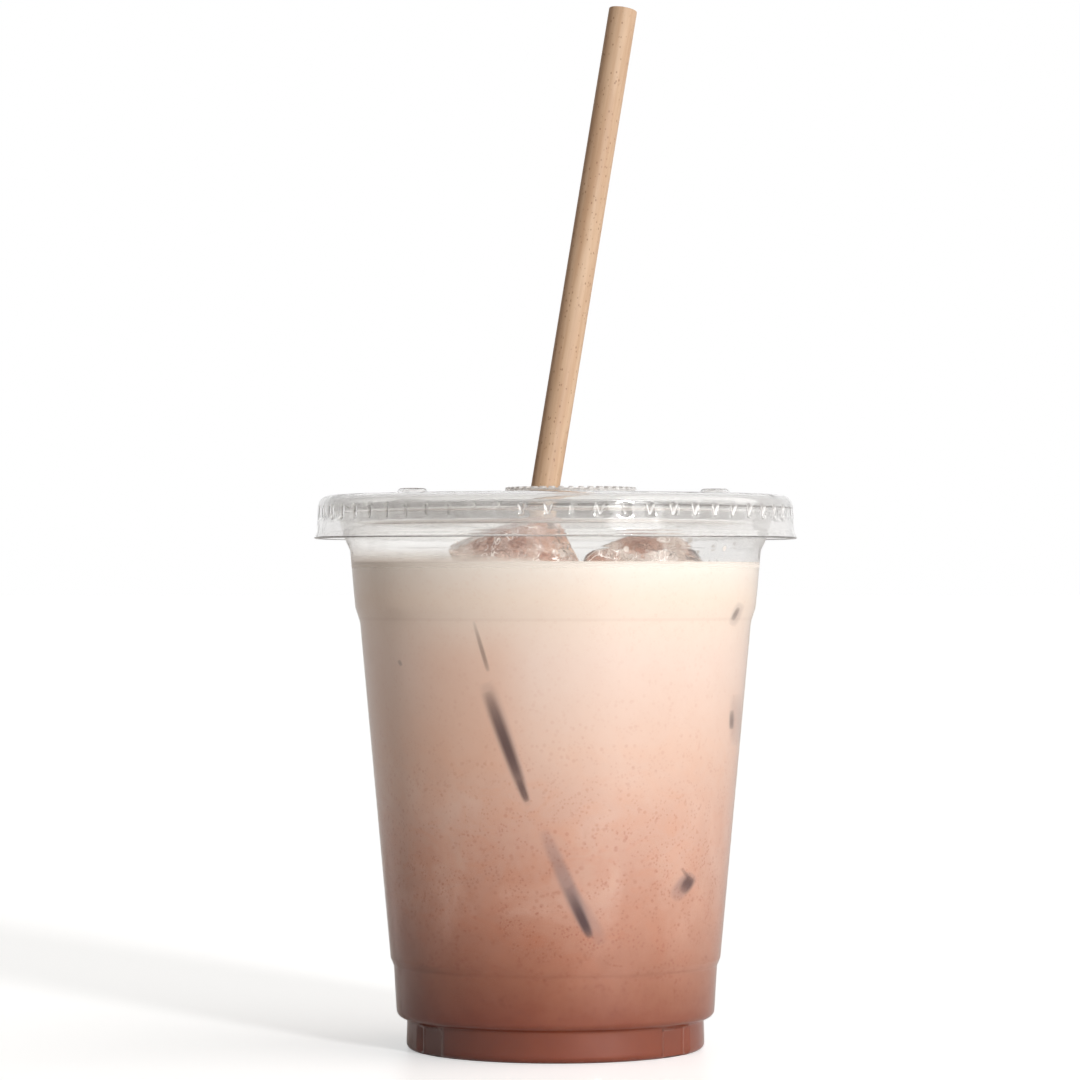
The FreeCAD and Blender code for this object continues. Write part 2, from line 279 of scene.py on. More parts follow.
def ramp(value, low, high):
    """0 below low, 1 above high, and 3t^2 - 2t^3 between."""
    t = np.clip((value - low) / (high - low), 0, 1)
    return t * t * (3 - 2 * t)


def soft_least(a, b, soft):
    """The smaller of two values, rounded where they cross."""
    blend = np.maximum(soft - np.abs(a - b), 0) / soft
    return np.minimum(a, b) - blend * blend * soft / 4


def grid_piece(name, points, material, replaced, wrap_rows=False, keep=None, wall=None):
    """A piece from a grid of points (row, column): a face joins each four neighbours, columns close
    round, and points that coincide, as at a pole, are merged."""
    rows, columns = points.shape[:2]
    number = np.arange(rows * columns).reshape(rows, columns)
    beside = np.roll(number, -1, axis=1)
    upper = np.roll(number, -1, axis=0)
    upper_beside = np.roll(upper, -1, axis=1)
    faces = np.stack([number, beside, upper_beside, upper], -1)
    if not wrap_rows:
        faces = faces[:-1]
    if keep is not None:
        faces = faces[keep]
    mesh = bpy.data.meshes.new(name)
    mesh.from_pydata(points.reshape(-1, 3), [], faces.reshape(-1, 4).tolist())
    build = bmesh.new()
    build.from_mesh(mesh)
    bmesh.ops.remove_doubles(build, verts=build.verts, dist=1e-6)
    bmesh.ops.dissolve_degenerate(build, edges=build.edges, dist=1e-7)
    build.to_mesh(mesh)
    build.free()
    return finished(name, mesh, material, replaced, wall)


def finished(name, mesh, material, replaced, wall):
    """An object at the origin with its material, riding on the frame, with a wall if it is a sheet."""
    mesh.polygons.foreach_set("use_smooth", [True] * len(mesh.polygons))
    mesh.materials.append(material)
    mesh.update()
    piece = bpy.data.objects.new(name, mesh)
    bpy.context.scene.collection.objects.link(piece)
    if wall:
        solid = piece.modifiers.new("Wall", "SOLIDIFY")
        solid.thickness = wall
        solid.offset = -1
        solid.use_even_offset = True
        solid.use_rim = True
    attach(piece, "root")
    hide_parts(*replaced)
    return piece


# ---- shader sockets


class Wire:
    """A shader socket with arithmetic: an expression on wires and numbers adds its Math nodes."""

    def __init__(self, shade, socket):
        self.shade = shade
        self.socket = socket

    def maths(self, operation, *values):
        return self.shade.maths(operation, *values)

    def __add__(self, other):
        return self.maths("ADD", self, other)

    __radd__ = __add__

    def __sub__(self, other):
        return self.maths("SUBTRACT", self, other)

    def __rsub__(self, other):
        return self.maths("SUBTRACT", other, self)

    def __mul__(self, other):
        return self.maths("MULTIPLY", self, other)

    __rmul__ = __mul__

    def __truediv__(self, other):
        return self.maths("DIVIDE", self, other)

    def __pow__(self, other):
        return self.maths("POWER", self, other)

    def __neg__(self):
        return self.maths("MULTIPLY", self, -1)

    def most(self, other):
        return self.maths("MAXIMUM", self, other)

    def least(self, other):
        return self.maths("MINIMUM", self, other)

    def size(self):
        return self.maths("ABSOLUTE", self)

    def between(self, low, high):
        """0 below low, 1 above high and smooth between, or the other way round where low is the larger."""
        values = {"Value": self, "From Min": low, "From Max": high}
        return self.shade.node("MapRange", {"interpolation_type": "SMOOTHSTEP", "clamp": True}, values)


class Shade:
    """One material or world, and the nodes in it."""

    def __init__(self, owner):
        owner.use_nodes = True
        self.owner = owner
        self.tree = owner.node_tree
        self.tree.nodes.clear()

    def node(self, kind, settings=None, values=None, output=0):
        """Adds a node: first its settings, then its sockets' values or wires. Gives the wire from one
        output."""
        node = self.tree.nodes.new("ShaderNode" + kind)
        for key, value in (settings or {}).items():
            if key == "stops":
                self.set_stops(node.color_ramp, value)
            else:
                setattr(node, key, value)
        for key, value in (values or {}).items():
            socket = node.inputs[key]
            if isinstance(value, Wire):
                self.tree.links.new(value.socket, socket)
            else:
                socket.default_value = value
        return Wire(self, node.outputs[output])

    def set_stops(self, band, stops):
        """Sets the places and colours of a ramp."""
        while len(band.elements) < len(stops):
            band.elements.new(1.0)
        for element, (place, shown) in zip(band.elements, sorted(stops)):
            element.position = place
            element.color = (*shown, 1)

    def place(self):
        """Object coordinates."""
        return self.node("TexCoord", output="Object")

    def parts(self, vector):
        """X, Y and Z of a vector."""
        node = self.node("SeparateXYZ", values={"Vector": vector})
        return [Wire(self, socket) for socket in node.socket.node.outputs]

    def stretched(self, vector, sizes):
        """A vector times three numbers, one for each axis."""
        return self.node("VectorMath", {"operation": "MULTIPLY"}, {0: vector, 1: sizes})

    def noise(self, vector, scale, detail=2.0, roughness=0.5, twist=0.0):
        """Soft noise, mostly between 0.3 and 0.7."""
        sizes = {"Scale": scale, "Detail": detail, "Roughness": roughness, "Distortion": twist}
        return self.node("TexNoise", None, {"Vector": vector, **sizes}, "Fac")

    def cells(self, vector, scale):
        """Distance to the nearest of many scattered points."""
        return self.node("TexVoronoi", None, {"Vector": vector, "Scale": scale}, "Distance")

    def tint(self, amount, first, second, way="MIX"):
        """Mixes two colours by an amount."""
        values = {0: amount, 6: padded(first), 7: padded(second)}
        return self.node("Mix", {"data_type": "RGBA", "blend_type": way}, values, 2)

    def bump(self, height, strength, distance, normal=None):
        """A normal raised by a height, on top of another normal if one is given."""
        values = {"Height": height, "Strength": strength, "Distance": distance}
        if normal is not None:
            values["Normal"] = normal
        return self.node("Bump", None, values)

    def maths(self, operation, *values):
        """One Math node."""
        return self.node("Math", {"operation": operation}, dict(enumerate(values)))

    def path(self, ray):
        """1 for one kind of ray and 0 for the others."""
        return self.node("LightPath", output=ray)

    def surface(self, **values):
        """A Principled shader; a socket's spaces are written as underscores."""
        sockets = {key.replace("_", " "): value for key, value in values.items()}
        return self.node("BsdfPrincipled", None, sockets)

    def background(self, shown, strength):
        """Light of one colour from all round."""
        return self.node("Background", None, {"Color": padded(shown), "Strength": strength})

    def mixed(self, amount, first, second):
        """The first shader where the amount is 0 and the second where it is 1."""
        return self.node("MixShader", None, {0: amount, 1: first, 2: second})

    def end(self, shader, kind="Material"):
        """Links the last shader to the output, and gives the material or world."""
        node = self.tree.nodes.new("ShaderNodeOutput" + kind)
        self.tree.links.new(shader.socket, node.inputs["Surface"])
        return self.owner

    def lets_light_in(self, shader):
        """Clear plastic or ice that lamps and soft light pass straight through, so that they reach what
        is behind it."""
        clear = self.node("BsdfTransparent")
        soft = self.mixed(self.path("Is Diffuse Ray"), shader, clear)
        return self.mixed(self.path("Is Shadow Ray"), soft, clear)


def padded(value):
    """A colour with its fourth value, or a wire as it is."""
    return value if isinstance(value, Wire) else (*value, 1)


def new_shade(name):
    """A new material with nothing in it."""
    return Shade(bpy.data.materials.new(name))


# ---- cup


def cup_corners(shape):
    """Corners (radius, height, rounding) of the cup's outer face, from the middle of its base to its neck.
    Left of the line is the inside."""
    low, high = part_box("cup")
    rim = high.x
    ring_inner = shape.foot_radius - shape.foot_ring
    band_foot = shape.foot_radius + shape.ledge
    ledge_z = shape.foot_height + shape.ledge_rise
    step_z = shape.foot_height + shape.lower_band
    step_r = band_foot + shape.band_slope * (step_z - ledge_z)
    wall_r = step_r + shape.lower_step
    wall_z = step_z + shape.lower_rise
    upper_r = wall_r + shape.wall_slope * (shape.upper_step_z - wall_z)
    band_r = upper_r + shape.upper_step
    band_z = shape.upper_step_z + shape.upper_rise
    flare_r = band_r + shape.wall_slope * shape.upper_band
    flare_z = band_z + shape.upper_band
    neck_r = rim - 2 * shape.curl + shape.wall
    curl_z = high.z - shape.curl
    return np.array([
        (0, shape.base_rise, 0),
        (ring_inner, shape.base_rise, 1.1 * MM),
        (ring_inner + 0.35 * MM, low.z, 1.0 * MM),
        (shape.foot_radius, low.z, 1.3 * MM),
        (shape.foot_radius - 0.175 * MM, shape.foot_height, 0.6 * MM),
        (band_foot, ledge_z, 1.7 * MM),
        (step_r, step_z, 0.9 * MM),
        (wall_r, wall_z, 1.0 * MM),
        (upper_r, shape.upper_step_z, 1.6 * MM),
        (band_r, band_z, 1.6 * MM),
        (flare_r, flare_z, 1.8 * MM),
        (flare_r + shape.flare, flare_z + shape.flare_rise, 2.0 * MM),
        (neck_r, curl_z - 1.6 * MM, 2.0 * MM),
        (neck_r, curl_z, 0),
    ])


def cup_headings(shape):
    """Headings of the columns: even ones, and more across each notch, less those that nearly coincide."""
    even = np.linspace(0, 2 * math.pi, 200, endpoint=False)
    across = np.radians(np.linspace(-18, 18, 25))
    extra = (notch_headings(shape)[:, None] + across).ravel() % (2 * math.pi)
    every = np.sort(np.concatenate([even, extra]))
    return every[np.concatenate([[True], np.diff(every) > 0.004])]


def notch_headings(shape):
    """Headings of the two front notches and the one at the back."""
    return np.array([
        shape.notch_middle - shape.notch_spread / 2,
        shape.notch_middle + shape.notch_spread / 2,
        shape.notch_middle + math.pi,
    ])


def press_notches(points, shape, inset):
    """Presses the notches into a turned wall. In a notch the radius is held to a flat floor, floor /
    cos(a), and to its two sloping sides, where a is the angle from its middle. inset is how far this face
    lies inside the outer one."""
    radius, heading = about_axis(points)
    radius = np.maximum(radius, 1e-9)
    away = (heading[..., None] - notch_headings(shape) + math.pi) % (2 * math.pi) - math.pi
    away = np.abs(away).min(-1)
    floor = shape.foot_radius - shape.notch_depth - inset
    slope = shape.notch_side / shape.notch_depth
    half = shape.notch_width / 2 + inset - shape.notch_side
    turn = np.maximum(slope * np.cos(away) - np.sin(away), 0.05)
    side = (floor * slope - half) / turn
    flat = floor / np.maximum(np.cos(away), 0.05)
    limit = -soft_least(-flat, -side, 0.15 * MM)
    top = shape.foot_height - 0.3 * MM + inset
    pressed = soft_least(radius, limit, 0.12 * MM)
    held = radius + (pressed - radius) * ramp(points[..., 2], top + 0.05 * MM, top - 0.45 * MM)
    return drawn_in(points, radius, held)


def close_at_foot(line, shape, fine, coarse):
    """Adds points to a cup line, close together below the ledge where the notches are."""
    height = (line[1:, 1] + line[:-1, 1]) / 2
    outside = line[1:, 0] > shape.foot_radius - shape.foot_ring - 1 * MM
    return finer(line, np.where((height < shape.foot_height + 0.5 * MM) & outside, fine, coarse))


def clear_plastic(name, below, above, haze, wavy, painted_creases=()):
    """Thin clear sheet, greyer where it is only sheet and air, with painted shade greying its right side:
    faint waves, milky streaks, fine rubbed marks, and a painted shade line at each crease, which is its
    height, half width and strength."""
    shade = new_shade(name)
    place = shade.place()
    x, _, height = shade.parts(place)
    streaks = shade.noise(shade.stretched(place, (60, 60, 500)), 1.0, 2.0)
    waves = shade.noise(shade.stretched(place, (1, 1, 2)), 90.0, 3.0)
    marks = shade.noise(shade.stretched(place, (900, 900, 120)), 1.0, 3.0, 0.6)
    level = drink_level()
    air = height.between(level - 1.5 * MM, level + 1.5 * MM)
    sheet = shade.tint(air, below, above)
    # painted shade: the sheet above the drink is tinted greyer towards its right side
    sheet = shade.tint(air * x.between(5 * MM, 45 * MM), sheet, (0.925, 0.92, 0.915))
    # painted shade: a darker line along each crease of the wall
    for bend, width, strength in painted_creases:
        line = (height - bend).size().between(width, 0.1 * MM)
        sheet = shade.tint(line * strength, sheet, (0.72, 0.62, 0.58))
    rough = 0.03 + 0.06 * marks.between(0.45, 0.8)
    normal = shade.bump(waves, wavy, 0.4 * MM)
    plastic = shade.surface(
        Base_Color=sheet, Roughness=rough, IOR=1.575, Transmission_Weight=1.0, Normal=normal
    )
    milky = shade.surface(Base_Color=(0.93, 0.93, 0.92, 1), Roughness=0.3, Normal=normal)
    amount = air * haze * (0.5 + streaks.between(0.3, 0.7))
    return shade, plastic, milky, amount


def milk_film(shade, plastic, milky, haze):
    """The cup's wall with a thin film of milk above the level, which fades upwards, breaks up into drops
    and is taller on the left."""
    level = drink_level()
    place = shade.place()
    x, _, z = shade.parts(place)
    ragged = shade.noise(shade.stretched(place, (1, 1, 2)), 70.0, 4.0, 0.6)
    left = x.between(4 * MM, -20 * MM)
    tall = (1.1 + 3.3 * left + (ragged - 0.5) * 1.6) * MM
    above = (z - level + 0.4 * MM) / tall
    wet = (1 - above).most(0).least(1)
    drops = shade.cells(place, 260.0).between(0.2, 0.12) * shade.noise(place, 60.0).between(0.55, 0.6)
    drops = drops * (z - level).between(0, MM) * (z - level).between(6.5 * MM, 5.5 * MM)
    film = shade.surface(Base_Color=padded(linear(243, 234, 224)), Roughness=0.35)
    milky_sheet = shade.mixed(haze, plastic, milky)
    amount = (wet * 0.25 + wet ** 3 * 0.7).most(drops * 0.6) * (z - level).between(-1.1 * MM, -0.4 * MM)
    return shade.mixed(amount, milky_sheet, film)


def lug_glints_and_shade(shade, plastic, milky, haze, shape):
    """The lid's sheet with painted highlights and painted shade: white edges on its V-shaped lugs and on the
    small ribs of the boss stand in for glints, and a dark sheet gives the lugs shaded bars and lines. An
    edge runs where the distance from the lug's middle shrinks evenly from half its width to nothing
    downwards."""
    place = shade.place()
    x, y, z = shade.parts(place)
    skirt = skirt_radius(shape)
    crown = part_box("lid")[1].z - shape.lug_drop
    heading = shade.maths("ARCTAN2", x, -y)
    turn = (heading - shape.lug_heading) / LUG_PITCH
    beside = (turn - shade.maths("ROUND", turn)).size() * (LUG_PITCH * skirt)
    down = (crown - z) / shape.lug_height
    edge = (beside - (1 - down) * shape.lug_width / 2).size().between(0.24 * MM, 0.08 * MM)
    bar = (down - 0.06).size().between(0.1, 0.04) * beside.between(0.4 * MM, 0.9 * MM)
    window = down.between(-0.06, 0.06) * down.between(1.0, 0.85)
    outside = (x * x + y * y - (skirt - 1.3 * MM) ** 2).between(0, 0.01 * MM)
    lit = x.between(-14 * MM, -2 * MM) * y.between(0, -10 * MM)
    uneven = shade.noise(place, 140.0, 2.0).between(0.35, 0.6)
    # painted highlight: white edges on the lugs, strongest where lit, front left of the middle
    white = edge * window * outside * (0.12 + 0.75 * lit * uneven)
    crown_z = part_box("lid_panel")[1].z
    # painted highlight: the boss's ribs turned milky white
    rib_glints = (z - crown_z).between(-0.9 * MM, -0.3 * MM) * 0.55
    milky_sheet = shade.mixed(haze.most(white).most(rib_glints).least(0.9), plastic, milky)
    # painted shade: a dark grey sheet mixed in as the lugs' shadow bars and lines
    dark = shade.surface(Base_Color=padded(linear(120, 116, 112)), Roughness=0.3)
    line = beside.between(0.3 * MM, 0.12 * MM)
    shadow = (bar * lit * 0.45).most((1 - lit) * line * 0.36 * uneven) * window * outside
    return shade.mixed(shadow, milky_sheet, dark)


class CHAI_OT_cup(bpy.types.Operator):
    """Makes the cup's thin wall, with its notched foot, steps and rolled rim"""

    bl_idname = "chai.cup"
    bl_label = "Cup"

    def execute(self, context):
        shape = context.scene.chai_cup
        line = rounded(cup_corners(shape), 6)
        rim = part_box("cup")[1]
        turn = np.radians(np.linspace(180, -120, 26))
        inner = shape.curl - shape.wall
        curl = np.stack([
            rim.x - shape.curl + inner * np.cos(turn),
            rim.z - shape.curl + inner * np.sin(turn),
        ], 1)
        line = np.vstack([close_at_foot(line, shape, 0.55 * MM, 7 * MM), curl[1:]])
        points = press_notches(turned(line, cup_headings(shape)), shape, 0.0)
        # painted shade lines at the two steps, each its height, half width and strength
        painted_creases = (
            (shape.foot_height + shape.lower_band + 0.5 * MM, 0.45 * MM, 0.5),
            (shape.upper_step_z + 0.8 * MM, 0.5 * MM, 0.3),
        )
        shade, plastic, milky, haze = clear_plastic(
            "clear_cup_sheet", (0.985, 0.98, 0.975), (0.95, 0.945, 0.935), 0.03, 0.12, painted_creases
        )
        walled = shade.end(shade.lets_light_in(milk_film(shade, plastic, milky, haze)))
        grid_piece("cup_wall", points, walled, ["cup"], wall=shape.wall)
        return {"FINISHED"}


# ---- lid


def skirt_radius(shape):
    """Radius of the lid's skirt at its foot."""
    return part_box("lid")[1].x - shape.lip_flare


def lid_lines(shape, cup):
    """Rows of the lid's upper face in three lines (radius, height): from the lip over the rim to the
    panel, up and over the boss, and in to the middle of the cross."""
    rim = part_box("cup")[1]
    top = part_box("lid")[1].z
    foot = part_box("lid")[0].z
    skirt_r = skirt_radius(shape) - shape.skirt_lean
    plug_r = rim.x - 2 * cup.curl - 0.25 * MM - shape.wall
    moat_z = top - shape.plug_depth
    moat_r = plug_r - shape.plug_taper
    panel_z = top - shape.panel_drop
    boss_z = panel_z + shape.boss_rise
    outer = np.array([
        (skirt_r + shape.skirt_lean + shape.lip_flare, foot, 0),
        (skirt_r + shape.skirt_lean, foot + shape.lip_height, 0.8 * MM),
        (skirt_r, top, shape.shoulder),
        (plug_r, top, 1.1 * MM),
        (moat_r, moat_z, 0.8 * MM),
        (moat_r - shape.moat, moat_z, 0.9 * MM),
        (moat_r - shape.moat - shape.plug_taper / 2, panel_z, 1.1 * MM),
        (shape.panel_inner, panel_z, 0),
    ])
    outer = rounded(outer, 6)
    middle = (outer[1:] + outer[:-1]) / 2
    on_skirt = (middle[:, 0] > skirt_r - 0.1 * MM) & (middle[:, 1] < top - shape.shoulder * 0.9)
    on_panel = middle[:, 0] < 40.5 * MM
    outer = finer(outer, np.where(on_skirt, 0.38 * MM, np.where(on_panel, 0.75 * MM, 9 * MM)))
    boss = np.array([
        (shape.boss_radius + 1.4 * MM, panel_z, 0),
        (shape.boss_radius, panel_z, 0.5 * MM),
        (shape.boss_radius - shape.boss_taper, boss_z, 0.5 * MM),
        (shape.slot / 2 + 0.4 * MM, boss_z, 0),
    ])
    boss = rounded(boss, 4)
    boss = finer(boss, np.where(boss[1:, 1] > boss_z - 0.01 * MM, 0.4 * MM, 9 * MM))
    cross = np.linspace(shape.slot / 2, shape.slit / math.sqrt(2) + 0.01 * MM, 15)
    cross = np.stack([cross, np.full(15, boss_z)], 1)
    return outer, boss, cross


def lid_columns(shape, cross):
    """Headings of the lid's columns: gathered at each lug round the skirt, even on the boss, and in the
    cross spread between the straight edges of each quarter, whose half gap takes asin(gap / r) of the
    turn."""
    lugs = np.arange(LUGS)[:, None] * LUG_PITCH + shape.lug_heading
    beside = np.array([-2.35, -1.5, -0.85, -0.42, 0, 0.42, 0.85, 1.7]) * MM
    at_skirt = (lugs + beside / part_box("lid")[1].x).ravel()
    column = np.arange(BOSS_COLUMNS)
    even = (column + 0.5) * 2 * math.pi / BOSS_COLUMNS
    edge = np.arcsin(np.clip(shape.slit / 2 / cross[:, :1], 0, 1))
    side = BOSS_COLUMNS // 4
    quarter = column // side * math.pi / 2
    step = column % side / (side - 1)
    in_cross = quarter + edge + step * (math.pi / 2 - 2 * edge)
    return at_skirt, even, in_cross


def press_lugs(points, shape):
    """Presses the V-shaped lugs into the skirt: across a lug the radius rises from the tip in a straight
    line to the skirt at half the lug's width, over the lug's height."""
    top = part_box("lid")[1].z
    skirt = skirt_radius(shape) - shape.skirt_lean / 2
    radius, heading = about_axis(points)
    turn = heading - shape.lug_heading + LUG_PITCH / 2
    beside = np.abs(turn % LUG_PITCH - LUG_PITCH / 2) * skirt
    tip = skirt - shape.lug_depth
    limit = tip + beside * shape.lug_depth / (shape.lug_width / 2)
    crown = top - shape.lug_drop
    high = ramp(points[..., 2], crown + 0.2 * MM, crown - 0.2 * MM)
    low = ramp(points[..., 2], crown - shape.lug_height - 0.2 * MM, crown - shape.lug_height + 0.2 * MM)
    outside = radius > skirt - 1.2 * MM
    held = radius + (np.minimum(radius, limit) - radius) * high * low * outside
    return drawn_in(points, radius, held)


def raise_buttons(points, shape):
    """Raises the stacking buttons: height grows as the distance to a button's middle falls below its
    radius, up to its flat top."""
    turns = shape.button_heading + np.arange(3) * math.radians(120)
    x = shape.button_circle * np.sin(turns)
    y = -shape.button_circle * np.cos(turns)
    apart = np.hypot(points[..., :1] - x, points[..., 1:2] - y).min(-1)
    slope = shape.button_rise / shape.button_taper
    rise = soft_least((shape.button_radius - apart) * slope, shape.button_rise, 0.5 * MM)
    moved = points.copy()
    moved[..., 2] += -soft_least(-rise, 0 * rise, 0.4 * MM)
    return moved


def raise_ribs(points, boss, headings, shape):
    """Raises the small ribs just inside the boss's edge, each as wide as the gap to the next."""
    beside = np.abs((headings + RIB_PITCH / 2) % RIB_PITCH - RIB_PITCH / 2)
    edge = shape.boss_radius - shape.boss_taper
    on_edge = (boss[:, 0] < edge - 0.1 * MM) & (boss[:, 0] > edge - shape.rib_length)
    moved = points.copy()
    moved[..., 2] += shape.rib_height * on_edge[:, None] * (beside < RIB_PITCH / 4)
    return moved


def part_for_straw(points, straw):
    """Bends the flaps down along the straw: a point nearer its middle than its skin moves out to the skin
    and as far down as it was inside."""
    top = points[..., 2].max()
    skin = straw.diameter / 2 + 0.12 * MM
    axis_x = straw.lid_x
    apart = np.hypot(points[..., 0] - axis_x, points[..., 1])
    inside = np.maximum(skin - apart, 0)
    drop = inside * 1.1 + np.maximum(skin + 1.6 * MM - apart, 0) ** 2 / (6 * MM)
    height = points[..., 2] - drop
    reach = np.maximum(apart, skin) / np.maximum(apart, 1e-6)
    moved = points.copy()
    moved[..., 0] = axis_x + (points[..., 0] - axis_x) * reach + (height - top) * math.tan(straw.lean_right)
    moved[..., 1] = points[..., 1] * reach + (height - top) * math.tan(straw.lean_back)
    moved[..., 2] = height
    near = (drop > 0)[..., None]
    return np.where(near, moved, points)


class CHAI_OT_lid(bpy.types.Operator):
    """Makes the lid's thin sheet, with its lugs, groove, boss, ribs, buttons and parted cross slot"""

    bl_idname = "chai.lid"
    bl_label = "Lid"

    def execute(self, context):
        shape = context.scene.chai_lid
        straw = context.scene.chai_straw
        outer, boss, cross = lid_lines(shape, context.scene.chai_cup)
        at_skirt, even, in_cross = lid_columns(shape, cross)
        ring = raise_buttons(press_lugs(turned(outer, at_skirt), shape), shape)
        middle = raise_ribs(turned(boss, even), boss, even, shape)
        inner = turned(cross, in_cross)
        middle[..., 0] += shape.boss_x
        inner[..., 0] += shape.boss_x
        points = np.concatenate([ring, middle, part_for_straw(inner, straw)])
        keep = np.ones((len(points) - 1, BOSS_COLUMNS), bool)
        keep[-(len(inner) - 1):, BOSS_COLUMNS // 4 - 1::BOSS_COLUMNS // 4] = False
        pale = (0.982, 0.98, 0.977)
        shade, plastic, milky, haze = clear_plastic("clear_lid_sheet", pale, pale, 0.045, 0.35)
        sheet = shade.end(shade.lets_light_in(lug_glints_and_shade(shade, plastic, milky, haze, shape)))
        nodes = ["lid", "lid_panel"]
        grid_piece("lid_sheet", points, sheet, nodes, keep=keep, wall=shape.wall)
        return {"FINISHED"}


# ---- straw


def straw_axis(straw, rib_height):
    """Lower end and upward direction of the straw's middle line, which crosses the boss's top under the ribs
    and rests on the cup's floor: its low edge is radius * sin(lean) below the middle of its end."""
    along = Vector((math.tan(straw.lean_right), math.tan(straw.lean_back), 1)).normalized()
    boss_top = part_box("lid_panel")[1].z - rib_height
    base_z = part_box("straw")[0].z + straw.diameter / 2 * math.sqrt(1 - along.z ** 2)
    base = Vector((straw.lid_x, 0, boss_top)) + along * ((base_z - boss_top) / along.z)
    return base, along


def across(along):
    """Two directions square to a direction and to each other."""
    side = Vector((0, 1, 0)).cross(along).normalized()
    return np.array(side), np.array(along.cross(side))


def straw_fibre(base, along):
    """Tan plant-fibre plastic: lengthwise streaks, fine brown flecks, a dried drip of tea and a wet one."""
    shade = new_shade("tan_straw_fibre")
    turn = along.to_track_quat("Z", "Y").to_euler()
    place = shade.node(
        "Mapping", {"vector_type": "TEXTURE"},
        {"Vector": shade.place(), "Location": base, "Rotation": turn},
    )
    x, y, z = shade.parts(place)
    grain = shade.noise(shade.stretched(place, (700, 700, 40)), 1.0, 3.0, 0.6)
    cloud = shade.noise(shade.stretched(place, (1, 1, 0.4)), 160.0, 3.0, 0.55)
    flecks = shade.cells(shade.stretched(place, (1, 1, 0.6)), 1500.0)
    picked = shade.noise(place, 900.0, 1.0)
    colour = shade.tint(grain.between(0.3, 0.7), linear(191, 156, 125), linear(206, 176, 146))
    colour = shade.tint(cloud.between(0.5, 0.75) * 0.4, colour, linear(181, 144, 110))
    dark = flecks.between(0.34, 0.12) * picked.between(0.48, 0.58)
    colour = shade.tint(dark * 0.6, colour, linear(126, 82, 52))
    ragged = shade.noise(shade.stretched(place, (1, 1, 0.5)), 260.0, 3.0, 0.6)
    off = (x - 0.9 * MM + (ragged - 0.5) * 2 * MM).size() / MM
    along_drip = (z - 192.5 * MM).size().between(8.5 * MM, 6.5 * MM) * y.between(0, -0.5 * MM)
    wet = off.between(0.75, 0.5) * along_drip
    stain = off.between(1.1, 0.8) * x.between(0.8 * MM, 1.2 * MM) * along_drip
    colour = shade.tint(wet * 0.35 + stain * 0.35, colour, linear(166, 104, 62))
    rough = 0.5 + 0.12 * grain - 0.3 * wet
    ripple = shade.noise(place, 1100.0, 2.0)
    normal = shade.bump(ripple * wet, 0.9, 0.35 * MM, shade.bump(grain, 0.25, 0.08 * MM))
    return shade.end(shade.surface(
        Base_Color=colour, Roughness=rough, Coat_Weight=wet, Coat_Roughness=0.08, Normal=normal
    ))


class CHAI_OT_straw(bpy.types.Operator):
    """Makes the straw as a tube with rounded ends"""

    bl_idname = "chai.straw"
    bl_label = "Straw"

    def execute(self, context):
        straw = context.scene.chai_straw
        base, along = straw_axis(straw, context.scene.chai_lid.rib_height)
        outer, inner = straw.diameter / 2, straw.diameter / 2 - straw.wall
        soft = 0.16 * MM
        line = rounded(np.array([
            (outer, straw.reach / 2, 0), (outer, straw.reach, soft), (inner, straw.reach, soft),
            (inner, 0, soft), (outer, 0, soft), (outer, straw.reach / 2, 0),
        ]), 5)[:-1]
        line = finer(line, 6 * MM)
        ring = turned(line, np.linspace(0, 2 * math.pi, 64, endpoint=False))
        side, up = across(along)
        points = np.array(base) + ring @ np.stack([side, up, np.array(along)])
        grid_piece("straw_tube", points, straw_fibre(base, along), ["straw"], wrap_rows=True)
        return {"FINISHED"}


# ---- ice


# Sizes in millimetres and turns in degrees. A cut is the direction of a broken face and how deep it cuts in,
# and sharp is the power that keeps the edges sharp: the higher it is, the less they are rounded.
ICE_BLOCKS = {
    "ice_left": dict(
        size=(22.0, 18.0, 21.0), turn=(4.0, -27.0, 6.0), place=(-7.3, -21.5), depth=1.2,
        cuts=(((0.19, 0.0, 0.98), 3.1), ((-0.2, -0.8, 0.55), 5.0)), sharp=20.0, seed=3,
    ),
    "ice_right": dict(
        size=(27.0, 17.0, 17.0), turn=(-4.0, 2.0, -4.0), place=(19.0, -1.5), depth=2.3,
        cuts=(((-0.45, 0.0, 0.89), 4.6), ((0.73, 0.0, 0.68), 4.6), ((0.1, -0.75, 0.65), 3.5)),
        sharp=13.0, seed=8,
    ),
}


def ice_planes(block):
    """Outward directions and distances, from the block's middle, of its six faces and its broken faces,
    in the frame of the cup: turned by roll about X, pitch about Y and yaw about Z."""
    half = np.array(block["size"]) / 2
    faces = np.vstack([np.eye(3), -np.eye(3)])
    gaps = np.concatenate([half, half])
    ways, depths = zip(*block["cuts"])
    cut = np.array(ways) / np.linalg.norm(ways, axis=1, keepdims=True)
    cut_gaps = np.abs(cut) @ half - depths
    normals = np.vstack([faces, cut])
    spin = np.array(Euler(np.radians(block["turn"])).to_matrix())
    return normals @ spin.T, np.concatenate([gaps, cut_gaps]) * MM


def ice_middle(block):
    """The block's middle, from its place and how far it lies below the level."""
    x, y = block["place"]
    return np.array([x * MM, y * MM, drink_level() - block["depth"] * MM])


def ice_measure(points, block):
    """Below 1 inside the melted block and above 1 outside: the p-norm of each plane's share, which rounds
    every edge."""
    normals, gaps = ice_planes(block)
    share = np.maximum((points - ice_middle(block)) @ normals.T / gaps, 0)
    return (share ** block["sharp"]).sum(-1) ** (1 / block["sharp"])


